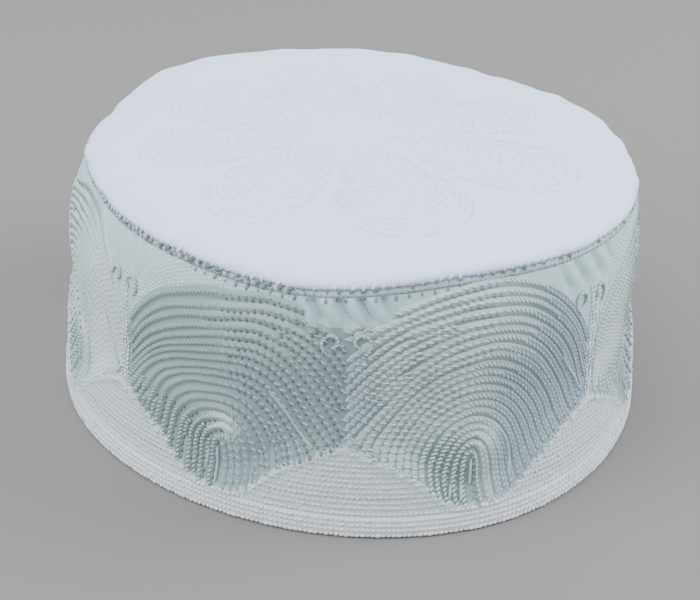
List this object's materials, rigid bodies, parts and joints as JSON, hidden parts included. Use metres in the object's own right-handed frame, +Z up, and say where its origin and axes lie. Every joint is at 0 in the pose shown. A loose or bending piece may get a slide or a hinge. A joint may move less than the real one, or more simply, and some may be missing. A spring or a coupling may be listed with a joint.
{
  "type": "embroidered prayer cap",
  "caption": "Low round-topped prayer cap, an open oval drum of stitched cloth with a flat padded crown and a folded hem, standing on its hem.",
  "frame": {"origin": "on the ground under the middle of the cap, in the plane of the hem's underside", "axes": "+X across the cap's shorter width, +Y along its longer width, +Z up from the hem to the crown"},
  "size_m": [0.1756, 0.1986, 0.0737],
  "materials": {
    "crown_cloth": "white padded cotton",
    "seam_thread": "overcast cotton thread",
    "band_cloth": "densely stitched pale cotton",
    "hem_cloth": "folded and quilted cotton"
  },
  "bodies": {
    "root": {"crown_panel": "crown_cloth", "crown_seam_welt": "seam_thread", "side_band": "band_cloth", "hem_fold": "hem_cloth"}
  },
  "joints": []
}
